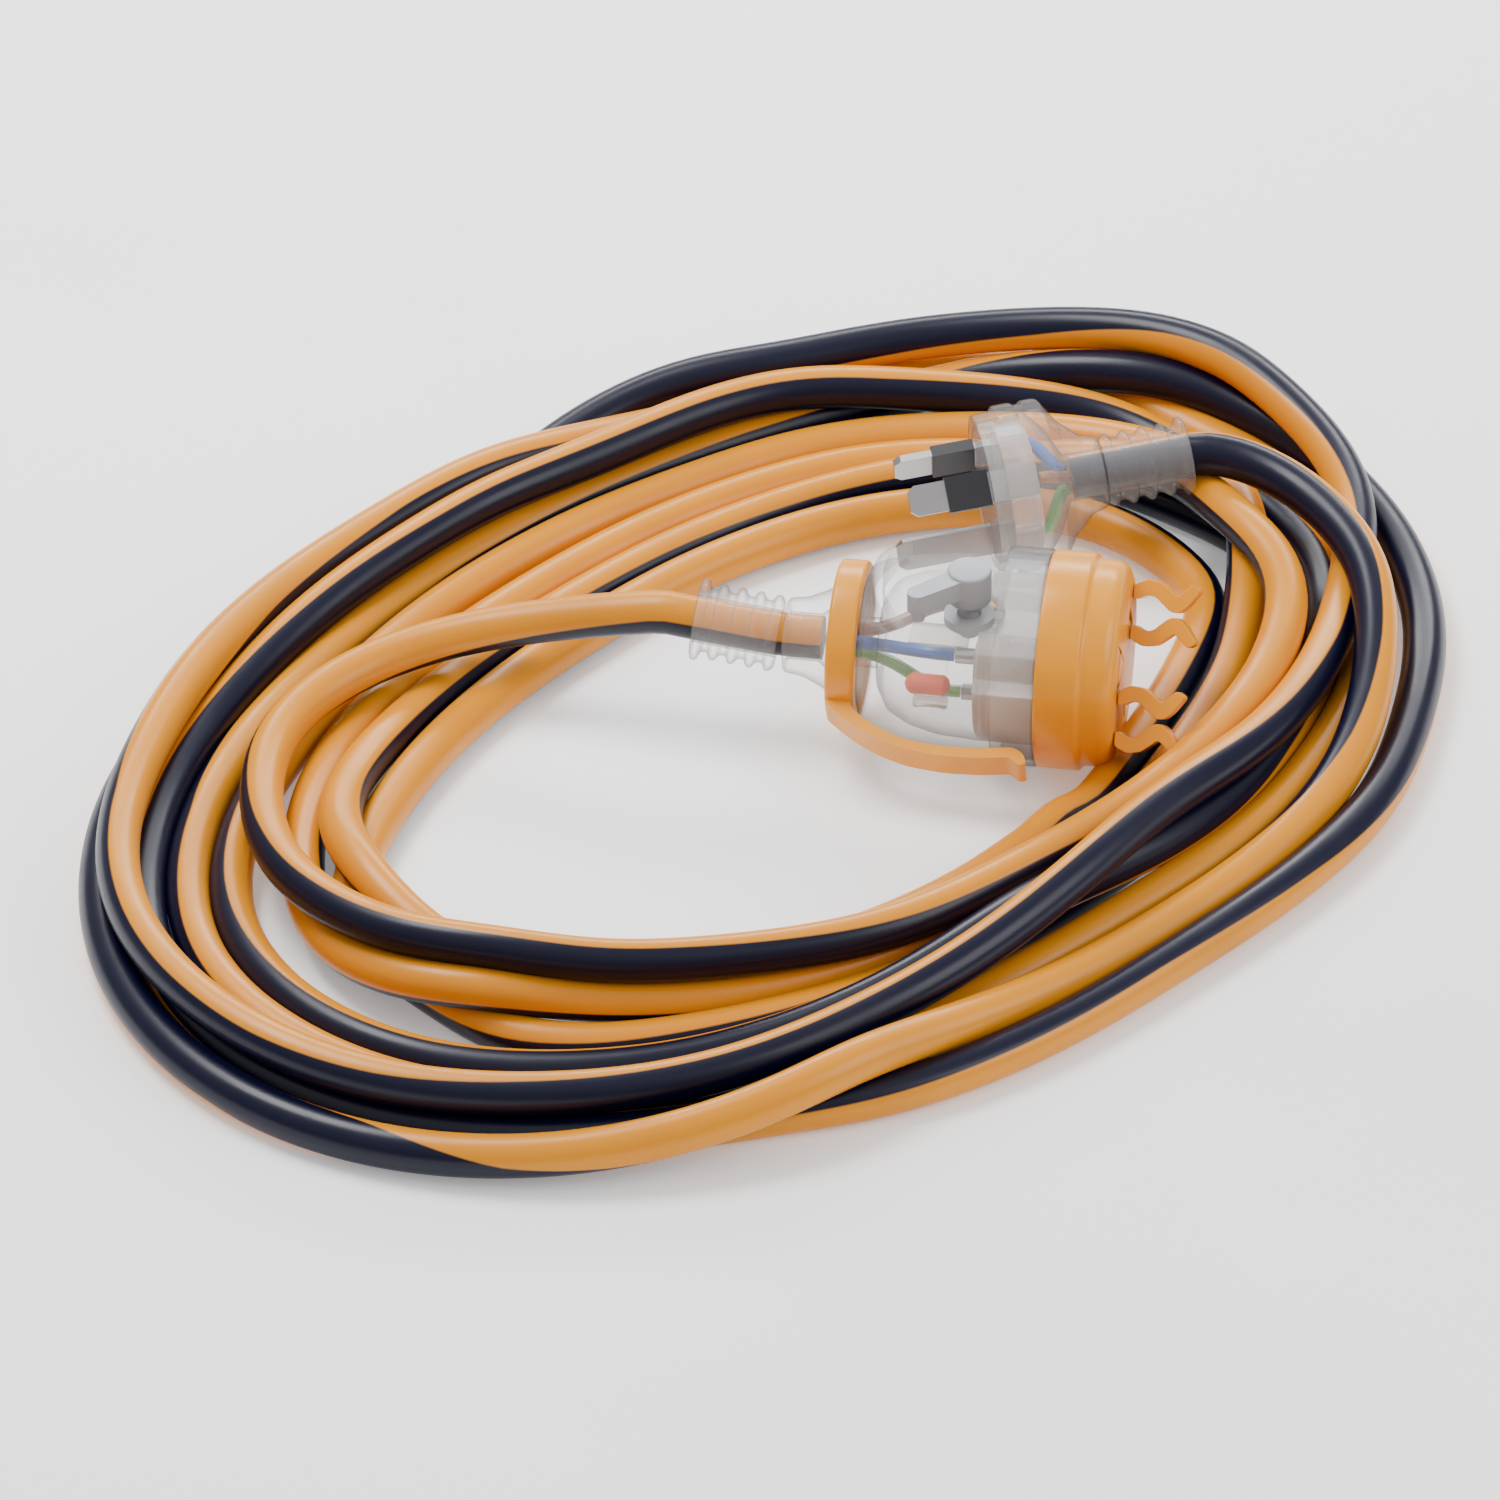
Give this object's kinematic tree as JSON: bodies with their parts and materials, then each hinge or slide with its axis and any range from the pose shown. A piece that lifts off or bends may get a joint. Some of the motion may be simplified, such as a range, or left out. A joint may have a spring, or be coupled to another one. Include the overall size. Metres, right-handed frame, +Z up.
{
  "type": "shore power cord",
  "caption": "Extension lead for caravan shore power: two-tone cable in a loose oval coil, clear flat-pin plug and clear locking socket with lever, yoke and jaws.",
  "frame": {"origin": "on the floor, under the middle of the coil", "axes": "+Z up, +X along the coil's long axis, +Y across it, away from the socket's open end"},
  "size_m": [0.327, 0.227, 0.0448],
  "materials": {
    "clear_pvc": "clear moulded PVC, glossy",
    "orange_plastic": "orange moulded plastic, satin gloss",
    "grey_plastic": "grey moulded plastic, satin",
    "cable_sheath": "two-tone orange and navy PVC sheath, satin gloss",
    "brass": "plain brass",
    "pin_metal": "nickel plated, brushed",
    "black_plastic": "black moulded insulation",
    "white_plastic": "off-white insulating plastic",
    "core_brown": "brown core insulation",
    "core_blue": "blue core insulation",
    "core_green": "green and yellow core insulation",
    "lamp_red": "red indicator lamp"
  },
  "bodies": {
    "root": {"socket_body": "clear_pvc", "socket_neck": "clear_pvc", "socket_boot": "clear_pvc", "front_ring": "clear_pvc", "front_cap": "orange_plastic", "jaw_far_upper": "orange_plastic", "jaw_far_lower": "orange_plastic", "jaw_near_upper": "orange_plastic", "jaw_near_lower": "orange_plastic", "contact_carrier": "white_plastic", "contact_active": "brass", "crimp_active": "pin_metal", "socket_core_active": "core_brown", "contact_neutral": "brass", "crimp_neutral": "pin_metal", "socket_core_neutral": "core_blue", "contact_earth": "brass", "crimp_earth": "pin_metal", "socket_core_earth": "core_green", "indicator_lamp": "lamp_red", "lamp_resistor": "white_plastic", "plug_body": "clear_pvc", "plug_face": "clear_pvc", "plug_insert": "white_plastic", "plug_boot": "clear_pvc", "pin_active": "pin_metal", "plug_core_active": "core_brown", "pin_sleeve_active": "black_plastic", "pin_neutral": "pin_metal", "plug_core_neutral": "core_blue", "pin_sleeve_neutral": "black_plastic", "pin_earth": "pin_metal", "plug_core_earth": "core_green", "cable_coil": "cable_sheath", "cable_tail_socket": "cable_sheath", "cable_tail_plug": "cable_sheath"},
    "lever": {"lock_lever": "grey_plastic", "lever_cam": "grey_plastic", "lever_clip": "pin_metal"},
    "slide": {"lock_slide": "white_plastic"},
    "yoke": {"yoke": "orange_plastic"}
  },
  "joints": [
    {"name": "lever_turn", "type": "hinge", "parent": "root", "child": "lever", "pos_m": [0.03235, -0.01674, 0.0378], "axis": [0, 0, -1], "range_deg": [0, 88]},
    {"name": "slide_travel", "type": "slide", "parent": "root", "child": "slide", "axis": [0.5779, -0.8161, 0], "range_m": [0, 0.0025]},
    {"name": "yoke_pull", "type": "slide", "parent": "root", "child": "yoke", "axis": [-0.5779, 0.8161, 0], "range_m": [0, 0.006]}
  ],
  "couplings": [
    {"joint": "slide_travel", "follows": "lever_turn", "m_per_rad": 0.0015626}
  ]
}
